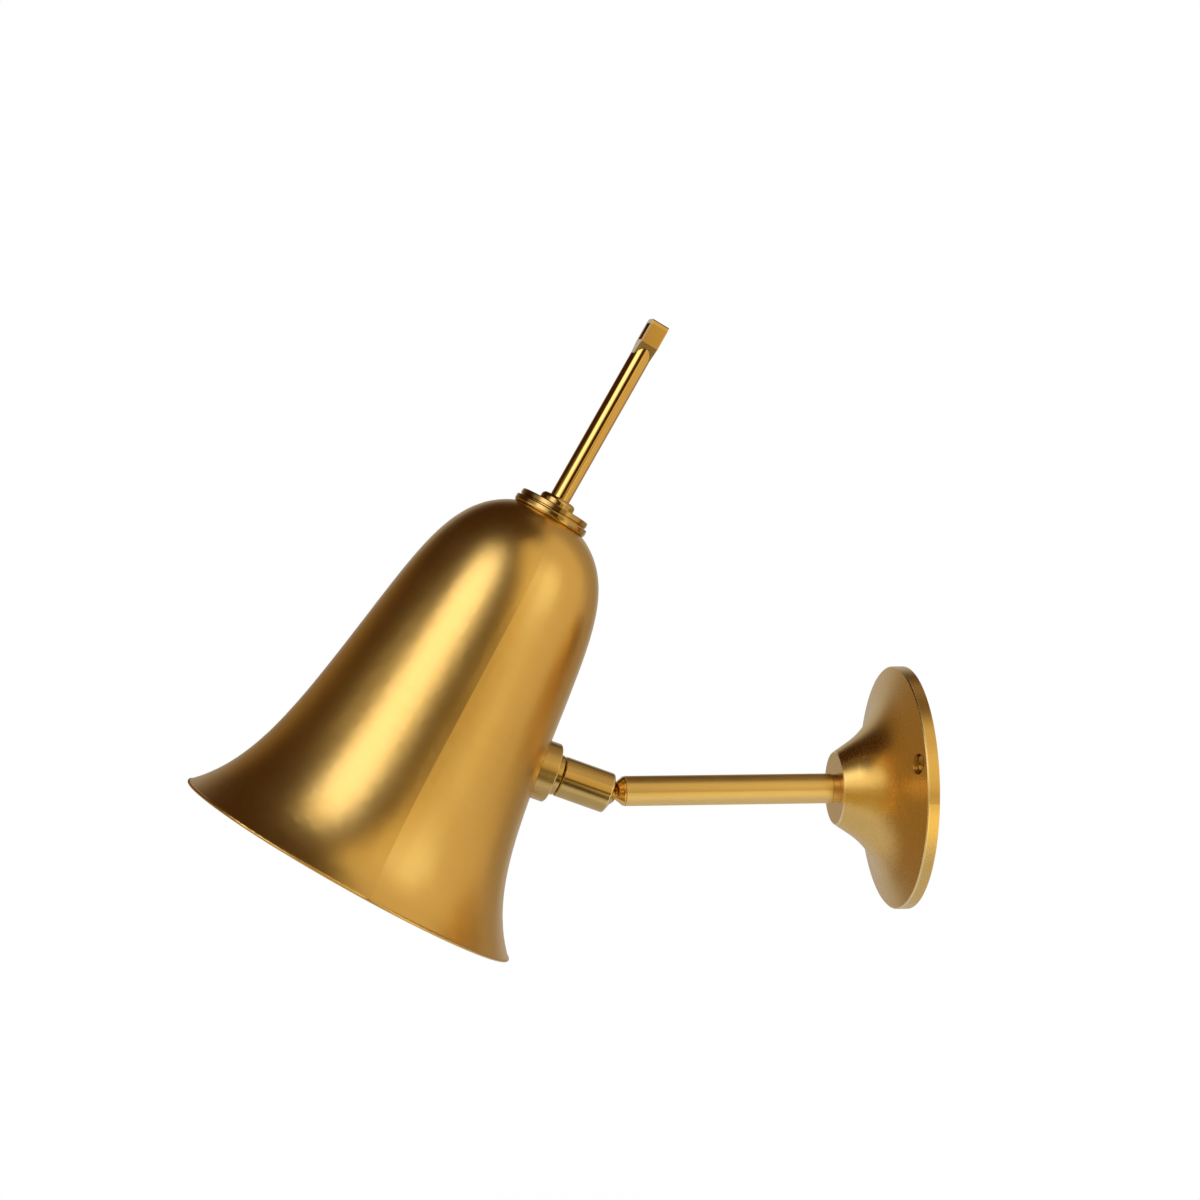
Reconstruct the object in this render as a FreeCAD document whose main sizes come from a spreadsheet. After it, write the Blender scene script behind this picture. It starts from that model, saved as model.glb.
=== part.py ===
import FreeCAD, Part
import math
import os
import re
import Sketcher

# A brass wall light.  A turned rosette carries a straight arm, a ball joint at the arm's end carries a
# bell shade, and a rod with a flat loop stands on the shade's crown.
#
# The origin is the middle of the rosette's back, on the wall.  +Y points into the wall, +Z is up and the
# arm stands out along -Y.  Turned pieces are drawn with their own axis as Z, in one of three frames:
#   wall frame    heights are measured out from the wall, along the arm
#   joint frame   heights are measured from the ball's centre, along the barrel, towards the shade
#   shade frame   heights are measured from the shade's rim plane, along its axis, towards the crown

SIZES = {
    # rosette
    "rosette_radius": 60.0,
    "rosette_edge": 5.9,
    "rosette_depth": 35.5,
    "hollow_edge_drop": 1.8,
    "hollow_waist_inset": 1.8,
    "hollow_waist_drop": 2.7,
    "neck_radius": 18.2,
    "neck_web": 7.0,
    "rim_land": 3.5,
    "trumpet_radius": 32.2,
    "trumpet_depth": 13.5,
    "trumpet_round": 45.0,
    "edge_break": 0.5,
    # the two screws in the rosette's face
    "screw_inset": 7.4,
    "screw_angle": 20.0,
    "screw_seat": 4.2,
    "screw_radius": 2.0,
    "screw_play": 0.3,
    "screw_head_radius": 4.2,
    "screw_head_height": 2.3,
    "screw_well_radius": 4.9,
    "screw_pillar_radius": 6.5,
    "screw_slot_width": 1.0,
    "screw_slot_depth": 0.9,
    # bracket on the wall
    "bracket_play": 0.5,
    "bracket_width": 22.0,
    "bracket_thickness": 2.0,
    "wall_hole_spacing": 60.0,
    "wall_hole_radius": 2.5,
    "cable_hole_radius": 4.2,
    "cable_hole_offset": 19.0,
    "grommet_lip": 1.1,
    "grommet_wall": 1.3,
    "earth_screw_radius": 2.0,
    "earth_head_radius": 3.6,
    "earth_head_height": 2.2,
    # terminal block
    "block_length": 20.0,
    "block_width": 16.0,
    "block_height": 11.0,
    "block_round": 1.2,
    "terminal_pitch": 9.0,
    "terminal_screw_radius": 1.7,
    "terminal_screw_depth": 5.0,
    "terminal_entry_radius": 1.8,
    "terminal_entry_height": 4.0,
    # arm
    "arm_radius": 7.35,
    "arm_wall": 1.5,
    "arm_end_round": 0.6,
    "collar_radius": 6.95,
    "collar_height": 1.8,
    "plug_length": 14.0,
    "thread_radius": 5.0,
    "thread_play": 0.2,
    "wire_radius": 2.8,
    "nipple_tail": 11.0,
    "nipple_grip": 10.0,
    "nut_flats": 14.0,
    "nut_height": 4.5,
    "washer_radius": 9.5,
    "washer_height": 1.5,
    # ball stud
    "ball_reach": 151.8,
    "ball_radius": 7.0,
    "ball_wire_radius": 2.0,
    "stud_neck_radius": 4.0,
    "stud_neck_reach": 5.7,
    "flare_radius": 7.2,
    "flare_reach": 10.1,
    "flare_band": 0.4,
    "bush_length": 12.0,
    "clip_height": 1.0,
    "clip_radius": 5.65,
    "clip_groove": 0.8,
    "clip_opening": 4.0,
    "stud_tail": 1.5,
    "running_gap": 0.05,
    "end_gap": 0.1,
    # joint barrel
    "barrel_rise_angle": 20.0,
    "barrel_radius": 10.0,
    "barrel_bore": 7.6,
    "barrel_back": 23.0,
    "nose_height": 2.4,
    "nose_angle": 24.0,
    "nose_round": 0.9,
    "mouth_radius": 7.3,
    "seat_back": 9.5,
    "seat_lip": 0.6,
    "spring_height": 2.0,
    "spring_plate": 0.8,
    "spring_hole": 3.6,
    "plug_recess": 0.6,
    "spigot_head_radius": 7.2,
    "spigot_head_height": 2.5,
    "spigot_shank_radius": 6.0,
    "groove_gap": 0.5,
    # what clamps the shade to the joint
    "spacer_radius": 10.0,
    "spacer_height": 3.5,
    "boss_radius": 14.75,
    "boss_height": 7.1,
    "boss_round": 0.7,
    "saddle_gap": 0.05,
    "inner_washer_radius": 10.5,
    "inner_washer_height": 2.6,
    "spigot_tail": 2.0,
    # shade
    "shade_lean_angle": 29.4,
    "shade_wall": 1.1,
    "rim_bead_proud": 0.25,
    "shade_rim_radius": 88.8,
    "shade_waist": 66.6,
    "shade_taper": 0.1245,
    "flare_length": 24.0,
    "shade_apex": 198.1,
    "crown_radius": 18.6,
    "boss_station": 87.2,
    "hole_reach": 10.0,
    # stack on the crown
    "lower_disc_radius": 19.1,
    "lower_disc_height": 3.7,
    "upper_disc_radius": 17.8,
    "upper_disc_height": 3.3,
    "disc_round": 0.6,
    "disc_foot_round": 1.4,
    "disc_seam": 0.45,
    "rod_collar_radius": 8.9,
    "rod_collar_height": 4.0,
    "rod_collar_round": 2.0,
    "rod_radius": 5.0,
    "rod_tenon_radius": 3.2,
    "rod_tenon_length": 1.6,
    "rod_length": 83.0,
    # loop at the top of the rod
    "loop_width": 9.0,
    "loop_half_span": 6.1,
    "loop_height": 12.1,
    "loop_round": 2.2,
    "loop_band": 2.3,
    "loop_sill": 0.8,
    "loop_root_half_span": 3.0,
    "loop_root_height": 6.7,
    "loop_rod_overlap": 4.5,
    # lampholder and bulb, hung inside the crown
    "crown_washer_radius": 12.0,
    "nipple_length": 31.0,
    "holder_radius": 19.5,
    "holder_wall": 2.0,
    "holder_neck_radius": 8.5,
    "holder_neck_height": 5.0,
    "holder_dome_height": 6.0,
    "holder_cap_height": 28.0,
    "holder_core_height": 8.0,
    "holder_sleeve_height": 30.0,
    "holder_shell_wall": 0.5,
    "contact_radius": 3.0,
    "contact_height": 1.5,
    "bulb_cap_radius": 13.1,
    "bulb_cap_height": 22.0,
    "bulb_cap_wall": 0.6,
    "bulb_tip_radius": 4.5,
    "bulb_tip_height": 3.0,
    "bulb_play": 0.6,
    "bulb_radius": 30.0,
    "bulb_length": 80.0,
    "bulb_wall": 1.0,
}

document = FreeCAD.newDocument("wall_light")
sheet = document.addObject("Spreadsheet::Sheet", "sizes")
for row, (name, number) in enumerate(SIZES.items(), start=1):
    sheet.set(f"A{row}", name)
    sheet.set(f"B{row}", str(number))
    sheet.setAlias(f"B{row}", name)
document.recompute()

X_AXIS = FreeCAD.Vector(1, 0, 0)
Z_AXIS = FreeCAD.Vector(0, 0, 1)
ORIGIN = FreeCAD.Vector(0, 0, 0)

pieces = []


# ---------------------------------------------------------------- formulas, frames and drawing helpers

def bound(formula):
    """A formula in the sheet's names, written the way the document reads it."""
    return re.sub(r"\b([a-z]+(?:_[a-z]+)+)\b", r"sizes.\1", formula)


def value(formula):
    """The number that a formula gives."""
    return float(sheet.evalExpression(bound(formula)))


def keep(item):
    """Count an object as a finished piece and return it."""
    pieces.append(item)
    return item


def keep_as(item, name):
    """Give a finished piece its name and count it."""
    item.Label = name
    return keep(item)


def frame(base, turn_about_x):
    """A placement that turns about X and then moves to its base."""
    return FreeCAD.Placement(base, FreeCAD.Rotation(X_AXIS, turn_about_x))


def sketch_on(body, name):
    """An empty sketch on the plane through a body's own X and Z axes."""
    drawing = body.newObject("Sketcher::SketchObject", name)
    plane = [item for item in body.Origin.OriginFeatures if item.Role == "XZ_Plane"][0]
    drawing.AttachmentSupport = [(plane, "")]
    drawing.MapMode = "FlatFace"
    return drawing


def pin(drawing, line, end, formulas):
    """Tie one end of a line to its two distances from the sketch's origin."""
    for kind, formula in zip(("DistanceX", "DistanceY"), formulas):
        number = drawing.addConstraint(Sketcher.Constraint(kind, -1, 1, line, end, value(formula)))
        drawing.setExpression(f"Constraints[{number}]", bound(formula))


def outline(drawing, corners):
    """A closed outline of straight lines whose corners are pairs of formulas."""
    points = [FreeCAD.Vector(value(across), value(up), 0) for across, up in corners]
    first = drawing.GeometryCount
    for start, end in zip(points, points[1:] + points[:1]):
        drawing.addGeometry(Part.LineSegment(start, end), False)
    for index in range(len(points)):
        following = first + (index + 1) % len(points)
        drawing.addConstraint(Sketcher.Constraint("Coincident", first + index, 2, following, 1))
    for index, corner in enumerate(corners):
        pin(drawing, first + index, 1, corner)


def turned(name, corners, placement):
    """A body turned about its own Z axis from corners given as (radius, height)."""
    body = document.addObject("PartDesign::Body", name)
    body.Label = name
    drawing = sketch_on(body, name + "_outline")
    outline(drawing, corners)
    lathe = body.newObject("PartDesign::Revolution", name + "_turning")
    lathe.Profile = drawing
    lathe.ReferenceAxis = (drawing, ["V_Axis"])
    lathe.Angle = 360
    body.Placement = placement
    document.recompute()
    return body


def ring(inside, outside, bottom, top):
    """The corners of a plain turned ring."""
    return [(inside, bottom), (outside, bottom), (outside, top), (inside, top)]


def milled(name, corners, thickness, placement):
    """A body of even thickness, cut to an outline and lying evenly about its plane."""
    body = document.addObject("PartDesign::Body", name)
    body.Label = name
    drawing = sketch_on(body, name + "_outline")
    outline(drawing, corners)
    plate = body.newObject("PartDesign::Pad", name + "_plate")
    plate.Profile = drawing
    plate.Midplane = True
    plate.Length = value(thickness)
    plate.setExpression("Length", bound(thickness))
    body.Placement = placement
    document.recompute()
    return body


def circle_edges(shape, radius, height):
    """The names of the circles of one radius at one height in a turned piece."""
    found = []
    for number, edge in enumerate(shape.Edges, start=1):
        if not isinstance(edge.Curve, Part.Circle):
            continue
        if abs(edge.Curve.Radius - radius) < 1e-4 and abs(edge.Curve.Center.z - height) < 1e-4:
            found.append(f"Edge{number}")
    return found


def rounded(body, rings, radius, kind="Fillet"):
    """Round or chamfer the circles given as (radius, height) on the body's last feature."""
    base = body.Tip
    names = []
    for ring_radius, height in rings:
        names += circle_edges(base.Shape, value(ring_radius), value(height))
    finish = body.newObject("PartDesign::" + kind, body.Label + "_" + kind.lower())
    finish.Base = (base, names)
    setting = "Radius" if kind == "Fillet" else "Size"
    setattr(finish, setting, value(radius))
    finish.setExpression(setting, bound(radius))
    document.recompute()
    return body


def cylinder(name, radius, bottom, top, placement, across=("0", "0")):
    """A cylinder between two heights of a frame, off its axis by the two distances across."""
    item = document.addObject("Part::Cylinder", name)
    item.Radius = value(radius)
    item.setExpression("Radius", bound(radius))
    item.Height = value(f"({top}) - ({bottom})")
    item.setExpression("Height", bound(f"({top}) - ({bottom})"))
    foot = FreeCAD.Vector(value(across[0]), value(across[1]), value(bottom))
    item.Placement = placement.multiply(FreeCAD.Placement(foot, FreeCAD.Rotation()))
    return item


def cone(name, radii, bottom, top, placement):
    """A cone between two heights of a frame, with its lower and upper radius."""
    item = document.addObject("Part::Cone", name)
    for setting, formula in zip(("Radius1", "Radius2"), radii):
        setattr(item, setting, value(formula))
        item.setExpression(setting, bound(formula))
    item.Height = value(f"({top}) - ({bottom})")
    item.setExpression("Height", bound(f"({top}) - ({bottom})"))
    foot = FreeCAD.Vector(0, 0, value(bottom))
    item.Placement = placement.multiply(FreeCAD.Placement(foot, FreeCAD.Rotation()))
    return item


def sphere(name, radius, height, placement):
    """A ball on the axis of a frame."""
    item = document.addObject("Part::Sphere", name)
    item.Radius = value(radius)
    item.setExpression("Radius", bound(radius))
    foot = FreeCAD.Vector(0, 0, value(height))
    item.Placement = placement.multiply(FreeCAD.Placement(foot, FreeCAD.Rotation()))
    return item


def block(name, lengths, middle, bottom, placement, turn="0"):
    """A box that stands on a height of a frame, about a middle point, turned about the frame's axis."""
    item = document.addObject("Part::Box", name)
    for setting, formula in zip(("Length", "Width", "Height"), lengths):
        setattr(item, setting, value(formula))
        item.setExpression(setting, bound(formula))
    corner = FreeCAD.Vector(
        value(f"({middle[0]}) - ({lengths[0]}) / 2"),
        value(f"({middle[1]}) - ({lengths[1]}) / 2"),
        value(bottom),
    )
    turning = FreeCAD.Placement(ORIGIN, FreeCAD.Rotation(Z_AXIS, value(turn)))
    item.Placement = placement.multiply(turning).multiply(FreeCAD.Placement(corner, FreeCAD.Rotation()))
    return item


def joined(name, items):
    """Several objects made into one."""
    whole = document.addObject("Part::MultiFuse", name)
    whole.Label = name
    whole.Shapes = items
    whole.Refine = True
    return whole


def cut(name, base, tool):
    """One object less another."""
    rest = document.addObject("Part::Cut", name)
    rest.Label = name
    rest.Base = base
    rest.Tool = tool
    return rest


def common(name, base, tool):
    """What two objects share."""
    shared = document.addObject("Part::Common", name)
    shared.Label = name
    shared.Base = base
    shared.Tool = tool
    return shared


def hexagon(name, flats, bore, bottom, top, placement):
    """A nut: a hexagon with a round bore."""
    prism = document.addObject("Part::Prism", name + "_blank")
    prism.Polygon = 6
    prism.Circumradius = value(f"({flats}) / 2 / cos(30)")
    prism.setExpression("Circumradius", bound(f"({flats}) / 2 / cos(30)"))
    prism.Height = value(f"({top}) - ({bottom})")
    prism.setExpression("Height", bound(f"({top}) - ({bottom})"))
    foot = FreeCAD.Vector(0, 0, value(bottom))
    prism.Placement = placement.multiply(FreeCAD.Placement(foot, FreeCAD.Rotation()))
    hole = cylinder(name + "_thread", bore, f"({bottom}) - 1", f"({top}) + 1", placement)
    return cut(name, prism, hole)


# ------------------------------------------------------------------------------- the shade's own curve

# the higher this is, the straighter the side and the tighter its turn into the crown
SHOULDER_POWER = 11


def shade_radius(station):
    """The shade's outer radius at a distance from its rim plane."""
    flare = value("shade_rim_radius - shade_waist") * math.exp(-station / value("flare_length"))
    body = value("shade_waist") - value("shade_taper") * station + flare
    climb = max(0.0, station / value("shade_apex"))
    return body * math.sqrt(max(0.0, 1 - climb ** SHOULDER_POWER))


def shade_normal(station):
    """The outward normal of the shade's curve, as (radius, height)."""
    step = 0.01
    slope = (shade_radius(station + step) - shade_radius(station - step)) / (2 * step)
    length = math.hypot(1, slope)
    return 1 / length, -slope / length


def crown_height():
    """The height at which the shade has narrowed to its flat crown."""
    low = value("shade_apex / 2")
    high = value("shade_apex")
    for _ in range(60):
        middle = (low + high) / 2
        if shade_radius(middle) > value("crown_radius"):
            low = middle
        else:
            high = middle
    return low


CROWN = crown_height()
CURVE_POINTS = 17


def shade_curve(shift):
    """The shade's curve from rim plane to crown, moved outwards by a shift, as one smooth edge."""
    start = -shift * shade_normal(0)[1]
    points = []
    for index in range(CURVE_POINTS):
        share = math.sin(math.pi / 2 * index / (CURVE_POINTS - 1))
        station = start + (CROWN - start) * share
        across, up = shade_normal(station)
        points.append(FreeCAD.Vector(shade_radius(station) + shift * across, 0, station + shift * up))
    points[0].z = 0
    curve = Part.BSplineCurve()
    curve.interpolate(points)
    return curve.toShape(), points[0], points[-1]


def shade_block(shift):
    """The solid inside the shade's curve, moved outwards by a shift, from rim plane to crown."""
    edge, foot, top = shade_curve(shift)
    centre_top = FreeCAD.Vector(0, 0, top.z)
    across_top = Part.makeLine(top, centre_top)
    down_axis = Part.makeLine(centre_top, ORIGIN)
    across_foot = Part.makeLine(ORIGIN, foot)
    sides = Part.__sortEdges__([edge, across_top, down_axis, across_foot])
    return Part.Face(Part.Wire(sides)).revolve(ORIGIN, Z_AXIS, 360)


def with_bead(skin):
    """The shade's skin with its rim edge rolled into a round bead, whose foot is on the rim plane."""
    bead = value("shade_wall / 2 + rim_bead_proud")
    across = shade_normal(bead)[0]
    middle = shade_radius(bead) - value("shade_wall") / (2 * across)
    wide = shade_radius(0)
    corner = FreeCAD.Vector(-wide, -wide, bead)
    above = Part.makeBox(2 * wide, 2 * wide, value("shade_apex"), corner)
    ring = Part.makeTorus(middle, bead, FreeCAD.Vector(0, 0, bead), Z_AXIS)
    return skin.common(above).fuse(ring).removeSplitter()


def feature(name, shape, placement):
    """A document object that holds a shape worked out here."""
    item = document.addObject("Part::Feature", name)
    item.Label = name
    item.Shape = shape
    item.Placement = placement
    return item


# ---------------------------------------------------------------------------------------- the frames

WALL = frame(ORIGIN, 90)
BALL_CENTRE = FreeCAD.Vector(0, -value("ball_reach"), 0)
JOINT = frame(BALL_CENTRE, 90 - value("barrel_rise_angle"))

# heights along the barrel at which the pieces that clamp the shade begin and end
SPACER_FOOT = "barrel_back + groove_gap"
BOSS_FOOT = SPACER_FOOT + " + spacer_height"
BOSS_TOP = BOSS_FOOT + " + boss_height"
INNER_WASHER_TOP = BOSS_TOP + " + shade_wall + inner_washer_height"
BOSS_NUT_TOP = INNER_WASHER_TOP + " + nut_height"

lean = math.radians(value("shade_lean_angle"))
shade_axis = FreeCAD.Vector(0, math.sin(lean), math.cos(lean))
shade_side = FreeCAD.Vector(0, math.cos(lean), -math.sin(lean))
boss_seat = JOINT.multVec(FreeCAD.Vector(0, 0, value(BOSS_TOP)))
rim_centre = boss_seat - shade_axis * value("boss_station") - shade_side * shade_radius(value("boss_station"))
SHADE = frame(rim_centre, -value("shade_lean_angle"))


# ---------------------------------------------------------------------------------- pieces on the wall

SCREW_REACH = "(rosette_radius - screw_inset)"


def along_bracket(distance):
    """A point on the bracket's middle line, across the wall frame."""
    return (f"({distance}) * cos(screw_angle)", f"({distance}) * sin(screw_angle)")


def screw_spot(sign):
    """The place of a rosette screw, across the wall frame."""
    return along_bracket(f"{sign} * {SCREW_REACH}")


def make_rosette():
    """The turned trumpet that covers the wall bracket, hollow behind, with two screw wells."""
    blank = turned("rosette_blank", [
        ("0", "0"),
        ("rosette_radius", "0"),
        ("rosette_radius", "rosette_edge - edge_break"),
        ("rosette_radius - edge_break", "rosette_edge"),
        ("trumpet_radius", "trumpet_depth"),
        ("neck_radius", "rosette_depth - edge_break"),
        ("neck_radius - edge_break", "rosette_depth"),
        ("0", "rosette_depth"),
    ], WALL)
    rounded(blank, [("trumpet_radius", "trumpet_depth")], "trumpet_round")
    hollow = turned("rosette_hollow", [
        ("0", "-1"),
        ("rosette_radius - rim_land", "-1"),
        ("rosette_radius - rim_land", "rosette_edge - hollow_edge_drop"),
        ("trumpet_radius - hollow_waist_inset", "trumpet_depth - hollow_waist_drop"),
        ("neck_radius", "rosette_depth - neck_web"),
        ("0", "rosette_depth - neck_web"),
    ], WALL)
    pillars = []
    wells = []
    for number, sign in enumerate((1, -1)):
        spot = screw_spot(sign)
        top = "rosette_depth"
        pillar = cylinder(f"pillar_{number}", "screw_pillar_radius", "bracket_thickness", top, WALL, spot)
        pillars.append(pillar)
        wells.append(cylinder(f"well_{number}", "screw_well_radius", "screw_seat", top, WALL, spot))
        wells.append(cylinder(f"shank_hole_{number}", "screw_radius + screw_play", "-1", top, WALL, spot))
    wells.append(cylinder("arm_hole", "thread_radius + thread_play", "0", "rosette_depth + 1", WALL))
    space = cut("rosette_space", hollow, joined("pillars", pillars))
    shell = cut("rosette_shell", blank, space)
    return keep(cut("wall_rosette", shell, joined("rosette_holes", wells)))


def make_bracket():
    """The steel bar that screws to the wall behind the rosette."""
    reach = "(rosette_radius - rim_land - bracket_play - bracket_width / 2)"
    bar = block("bar", (f"2 * {reach}", "bracket_width", "bracket_thickness"),
                ("0", "0"), "0", WALL, "screw_angle")
    ends = []
    holes = []
    for number, sign in enumerate((1, -1)):
        end = along_bracket(f"{sign} * {reach}")
        ends.append(cylinder(f"bar_end_{number}", "bracket_width / 2", "0", "bracket_thickness", WALL, end))
        holes.append(through_bracket(f"tapped_hole_{number}", "screw_radius", f"{sign} * {SCREW_REACH}"))
        spot = f"{sign} * wall_hole_spacing / 2"
        holes.append(through_bracket(f"wall_hole_{number}", "wall_hole_radius", spot))
    holes.append(through_bracket("cable_hole", "cable_hole_radius", "cable_hole_offset"))
    holes.append(through_bracket("earth_hole", "earth_screw_radius", "-cable_hole_offset"))
    return keep(cut("wall_bracket", joined("bar_blank", [bar] + ends), joined("bar_holes", holes)))


def through_bracket(name, radius, distance):
    """A cylinder that passes through the bracket on its middle line."""
    return cylinder(name, radius, "-1", "bracket_thickness + 1", WALL, along_bracket(distance))


def slotted_screw(name, spot, sizes):
    """A screw with a slotted head: sizes are shank and head radius, foot, seat and top."""
    shank, head, foot, seat, top = sizes
    body = joined(name + "_body", [
        cylinder(name + "_shank", shank, foot, seat, WALL, spot),
        cylinder(name + "_head", head, seat, top, WALL, spot),
    ])
    slot = block(name + "_slot", (f"2 * ({head}) + 2", "screw_slot_width", "screw_slot_depth + 1"),
                 spot, f"{top} - screw_slot_depth", WALL)
    return cut(name + "_solid", body, slot)


def make_rosette_screws():
    """The two slotted screws in the rosette's face, tapped into the bracket."""
    top = "screw_seat + screw_head_height"
    pair = []
    for number, sign in enumerate((1, -1)):
        sizes = ("screw_radius", "screw_head_radius", "0", "screw_seat", top)
        pair.append(slotted_screw(f"rosette_screw_{number}", screw_spot(sign), sizes))
    return keep(joined("rosette_screws", pair))


def make_cable_inlet():
    """The rubber grommet in the bracket's cable hole."""
    spot = [value(part) for part in along_bracket("cable_hole_offset")]
    place = WALL.multiply(FreeCAD.Placement(FreeCAD.Vector(spot[0], spot[1], 0), FreeCAD.Rotation()))
    return keep(turned("cable_grommet", [
        ("cable_hole_radius - grommet_wall", "0"),
        ("cable_hole_radius", "0"),
        ("cable_hole_radius", "bracket_thickness"),
        ("cable_hole_radius + grommet_lip", "bracket_thickness"),
        ("cable_hole_radius + grommet_lip", "bracket_thickness + 0.6 * grommet_lip"),
        ("cable_hole_radius", "bracket_thickness + grommet_lip"),
        ("cable_hole_radius - grommet_wall", "bracket_thickness + grommet_lip"),
    ], place))


def make_earth_screw():
    """The earthing screw in the bracket."""
    top = "bracket_thickness + earth_head_height"
    sizes = ("earth_screw_radius", "earth_head_radius", "0", "bracket_thickness", top)
    return keep_as(slotted_screw("earth_screw", along_bracket("-cable_hole_offset"), sizes), "earth_screw")


TERMINAL_TOP = "bracket_thickness + block_height"


def make_terminals():
    """The two-way terminal block on the bracket, and its four clamping screws."""
    blank = block("terminal_blank", ("block_length", "block_width", "block_height"),
                  ("0", "0"), "bracket_thickness", WALL)
    document.recompute()
    soft = document.addObject("Part::Fillet", "terminal_soft")
    soft.Base = blank
    radius = value("block_round")
    uprights = [number for number, edge in enumerate(blank.Shape.Edges, start=1)
                if abs(abs(edge.tangentAt(edge.FirstParameter).y) - 1) < 1e-6]
    soft.Edges = [(number, radius, radius) for number in uprights]
    hollows = []
    screws = []
    for row, across in enumerate(("-terminal_pitch / 2", "terminal_pitch / 2")):
        entry = cylinder(f"entry_{row}", "terminal_entry_radius", "-block_width", "block_width", WALL)
        foot = FreeCAD.Vector(value(across), 0, value("bracket_thickness + terminal_entry_height"))
        lying = FreeCAD.Placement(foot, FreeCAD.Rotation(X_AXIS, 90))
        shift = FreeCAD.Placement(FreeCAD.Vector(0, 0, value("-block_width")), FreeCAD.Rotation())
        entry.Placement = WALL.multiply(lying).multiply(shift)
        hollows.append(entry)
        for column, up in enumerate(("-block_width / 4", "block_width / 4")):
            spot = (across, up)
            name = f"terminal_screw_{row}_{column}"
            bottom = f"{TERMINAL_TOP} - terminal_screw_depth"
            hollows.append(cylinder(name + "_well", "terminal_screw_radius", bottom,
                                    f"{TERMINAL_TOP} + 1", WALL, spot))
            shank = cylinder(name + "_body", "terminal_screw_radius", bottom,
                             f"{TERMINAL_TOP} - screw_slot_depth", WALL, spot)
            slot = block(name + "_slot", ("4 * terminal_screw_radius", "screw_slot_width", "2"), spot,
                         f"{TERMINAL_TOP} - 2 * screw_slot_depth", WALL)
            screws.append(cut(name, shank, slot))
    keep(cut("terminal_block", soft, joined("terminal_hollows", hollows)))
    keep(joined("terminal_screws", screws))


# ------------------------------------------------------------------------------------------- the arm

ARM_FOOT = "rosette_depth + collar_height"
ARM_TOP = "ball_reach - flare_reach - end_gap"
ARM_BORE = "arm_radius - arm_wall"
WEB_BACK = "rosette_depth - neck_web"


def make_arm():
    """The straight tube, the plug in its root and the bush in its other end."""
    tube = turned("arm_tube", [
        (ARM_BORE, ARM_FOOT),
        ("arm_radius - arm_end_round", ARM_FOOT),
        ("arm_radius - 0.3 * arm_end_round", f"{ARM_FOOT} + 0.3 * arm_end_round"),
        ("arm_radius", f"{ARM_FOOT} + arm_end_round"),
        ("arm_radius", f"{ARM_TOP} - edge_break"),
        ("arm_radius - edge_break", ARM_TOP),
        (ARM_BORE, ARM_TOP),
    ], WALL)
    keep(tube)
    keep(turned("arm_root_plug", [
        ("thread_radius", "rosette_depth"),
        ("collar_radius", "rosette_depth"),
        ("collar_radius", ARM_FOOT),
        (ARM_BORE, ARM_FOOT),
        (ARM_BORE, f"{ARM_FOOT} + plug_length"),
        ("thread_radius", f"{ARM_FOOT} + plug_length"),
    ], WALL))
    keep(turned("arm_end_bush", ring("thread_radius + running_gap", ARM_BORE,
                                     f"{ARM_TOP} - bush_length", ARM_TOP), WALL))


def make_arm_fixing():
    """The hollow threaded nipple through the rosette's neck, with its washer and nut behind."""
    keep(turned("arm_nipple", ring("wire_radius", "thread_radius",
                                   f"{WEB_BACK} - nipple_tail", f"{ARM_FOOT} + nipple_grip"), WALL))
    washer_bottom = f"{WEB_BACK} - washer_height"
    keep(turned("arm_washer", ring("thread_radius + thread_play", "washer_radius",
                                   washer_bottom, WEB_BACK), WALL))
    keep(hexagon("arm_locknut", "nut_flats", "thread_radius",
                 f"{washer_bottom} - nut_height", washer_bottom, WALL))


# ------------------------------------------------------------------------------------ the ball joint

def make_ball_stud():
    """The ball on its flared neck, with a shank that turns in the arm's end bush."""
    shoulder = "ball_reach - flare_reach"
    bush_back = f"{ARM_TOP} - bush_length"
    clip_foot = f"{bush_back} - end_gap - clip_height"
    tail = f"{clip_foot} - stud_tail"
    neck = "ball_reach - stud_neck_reach"
    whole = joined("stud_solid", [
        cylinder("stud_shank", "thread_radius", tail, shoulder, WALL),
        cylinder("stud_band", "flare_radius", shoulder, f"{shoulder} + flare_band", WALL),
        cone("stud_flare", ("flare_radius", "stud_neck_radius"), f"{shoulder} + flare_band", neck, WALL),
        cylinder("stud_neck", "stud_neck_radius", f"{neck} - 0.1", "ball_reach", WALL),
        sphere("stud_ball", "ball_radius", "ball_reach", WALL),
    ])
    groove = turned("stud_groove", ring("thread_radius - clip_groove", "thread_radius + 1",
                                        clip_foot, f"{clip_foot} + clip_height"), WALL)
    bore = cylinder("stud_bore", "ball_wire_radius", f"{tail} - 1", "ball_reach + 2 * ball_radius", WALL)
    keep(cut("ball_stud", whole, joined("stud_hollows", [groove, bore])))
    clip = turned("stud_clip_ring", ring("thread_radius - clip_groove", "clip_radius",
                                         clip_foot, f"{clip_foot} + clip_height"), WALL)
    gap = block("stud_clip_gap", ("clip_opening", "2 * clip_radius", "3 * clip_height"),
                ("0", "clip_radius"), f"{clip_foot} - clip_height", WALL)
    keep(cut("stud_clip", clip, gap))


SOCKET_RADIUS = "ball_radius + running_gap"
HEAD_FOOT = "seat_back + spring_height + running_gap"
HEAD_TOP = HEAD_FOOT + " + spigot_head_height"
PLUG_FOOT = HEAD_TOP + " + running_gap"
PLUG_TOP = "barrel_back - plug_recess"


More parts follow.
